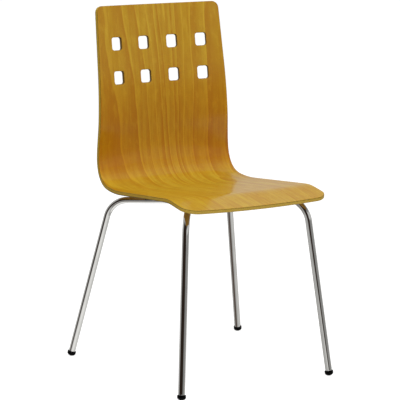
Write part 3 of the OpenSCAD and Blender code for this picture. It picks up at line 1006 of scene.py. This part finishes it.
# ---- Studio ----
VIEW_AZIMUTH = math.radians(-30.74)
VIEW_ELEVATION = math.radians(10.55)
VIEW_DISTANCE = 4.6247
VIEW_AIM = Vector((0.0, 0.0212, 0.4075))
FOCAL_LENGTH = 170.84
LIGHT_AIM = Vector((0, 0, 0.45))
FLOOR_REACH = 40.0
FLOOR_GLOW = 0.88

# The studio that the chair mirrors: brightness of its ground and its wall, and the elevations between
# which the one passes into the other
GROUND = 0.56
WALL = 0.24
GROUND_TOP = -13.0
WALL_FOOT = -10.0
# Parts of it: middle azimuth, half width, lowest and highest elevation, softness of the edges, all in
# degrees, and brightness
PANELS = [
    (0, 180, -100, -50, 4, 1.05),
    (-80, 45, -47, -26, 3, 0.13),
    (20, 75, -34, -11, 3, 1.05),
    (62, 40, -32, -11, 3, 0.68),
    (56, 42, -11, 3, 2, 0.34),
    (95, 10, -14, 3, 4, 0.72),
    (45, 55, 3, 25, 3, 0.7),
    (150, 40, -8, 35, 5, 0.68),
    (-148, 30, -12, 40, 4, 0.56),
    (-57, 53, -9.5, 46, 2, 0.03),
    (178, 26, -34, -9, 4, 0.3),
    (0, 180, 50, 100, 5, 0.76),
]
# Its darkest part is a brown screen, and the rest is almost white
SCREEN_TINT = (1, 0.68, 0.5)
STUDIO_TINT = (1, 0.99, 0.965)
# Brightness of the soft light from all round, from below and from above, and of the camera's backdrop
GROUND_LIGHT = 0.25
SKY_LIGHT = 0.44
BACKDROP = 1.05


def toward(azimuth, elevation):
    """Direction from the chair to a place round it: azimuth 0 is in front, elevation 0 level."""
    return Vector((
        math.sin(azimuth) * math.cos(elevation),
        -math.cos(azimuth) * math.cos(elevation),
        math.sin(elevation),
    ))


def look_from(obj, place_from, target):
    direction = (target - place_from).normalized()
    obj.rotation_euler = direction.to_track_quat("-Z", "Y").to_euler()
    obj.location = place_from


def add_camera():
    camera = bpy.data.cameras.new("camera")
    camera.lens = FOCAL_LENGTH
    camera.sensor_width = 36
    camera.clip_end = 60
    obj = bpy.data.objects.new("camera", camera)
    bpy.context.scene.collection.objects.link(obj)
    look_from(obj, VIEW_AIM + VIEW_DISTANCE * toward(VIEW_AZIMUTH, VIEW_ELEVATION), VIEW_AIM)
    bpy.context.scene.camera = obj


def add_area(name, azimuth, elevation, distance, size, power):
    """A soft box aimed at the chair: angles in degrees, distance and size in metres, power in watts."""
    light = bpy.data.lights.new(name, "AREA")
    light.shape = "RECTANGLE"
    light.size, light.size_y = size
    light.energy = power
    obj = bpy.data.objects.new(name, light)
    bpy.context.scene.collection.objects.link(obj)
    obj.visible_glossy = False
    obj.visible_camera = False
    away = toward(math.radians(azimuth), math.radians(elevation))
    look_from(obj, LIGHT_AIM + distance * away, LIGHT_AIM)


def mirrored_studio(g, azimuth, elevation):
    """Brightness that the chair mirrors from each direction: ground and wall, and the panels over them."""
    level = g.spread(elevation, GROUND_TOP, WALL_FOOT, GROUND, WALL)
    for middle, half, low, high, soft, brightness in PANELS:
        turned = g.absolute(g.math("WRAP", g.less(azimuth, middle), 180.0, -180.0))
        beside = g.spread(turned, half - soft, half + soft, 1.0, 0.0)
        inside = g.times(beside, g.band(elevation, low - soft, low + soft, high - soft, high + soft))
        level = g.add(level, g.times(inside, g.less(brightness, level)))
    return level


def add_world():
    """The studio by kind of ray: panels where mirrored, a soft glow as light, and white to the camera."""
    world = bpy.data.worlds.new("studio")
    bpy.context.scene.world = world
    world.use_nodes = True
    g = Nodes(world.node_tree)
    x, y, z = g.split(g.node("ShaderNodeTexCoord").outputs["Generated"])
    azimuth = g.times(g.math("ARCTAN2", x, g.times(y, -1.0)), 180 / math.pi)
    elevation = g.times(g.math("ARCSINE", z), 180 / math.pi)
    level = mirrored_studio(g, azimuth, elevation)
    ray = g.node("ShaderNodeLightPath").outputs
    glow = g.spread(elevation, -20.0, 60.0, GROUND_LIGHT, SKY_LIGHT)
    level = g.add(level, g.times(ray["Is Diffuse Ray"], g.less(glow, level)))
    level = g.add(level, g.times(ray["Is Camera Ray"], g.less(BACKDROP, level)))
    background = g.node("ShaderNodeBackground")
    g.link(g.mix(g.spread(level, 0.05, 0.25), SCREEN_TINT, STUDIO_TINT), background.inputs["Color"])
    g.link(level, background.inputs["Strength"])
    g.link(background.outputs[0], g.node("ShaderNodeOutputWorld").inputs["Surface"])


def add_floor():
    g = Surface("floor")
    mottle = g.noise(g.object_coords(), 3.0)
    g.set(Base_Color=g.mix(g.spread(mottle, 0.3, 0.7), (0.27, 0.27, 0.27), (0.3, 0.3, 0.3)))
    g.set(Roughness=0.8, Emission_Color=(1, 1, 1, 1), Emission_Strength=FLOOR_GLOW)
    corners = FLOOR_REACH * np.array([(-1, -1, 0), (1, -1, 0), (1, 1, 0), (-1, 1, 0)])
    floor = new_object("floor", corners, [(0, 1, 2, 3)], g.material)
    # The chair is lit from below, and mirrored, by the studio's ground instead
    floor.visible_glossy = False
    floor.visible_diffuse = False


def add_studio():
    add_floor()
    add_world()
    add_camera()
    add_area("key", -30, 55, 3.2, (2.2, 1.8), 80)
    add_area("fill", 40, 45, 3.4, (2.4, 2.0), 33)
    add_area("rear", 170, 15, 3.4, (2.4, 1.8), 14)
    add_area("bounce", 0, -86, 0.43, (1.5, 1.5), 3.6)
    add_area("top", 160, 75, 3.0, (2.6, 2.6), 12)
    bpy.context.scene.view_settings.view_transform = "Standard"


build_shell()
build_frame()
add_studio()
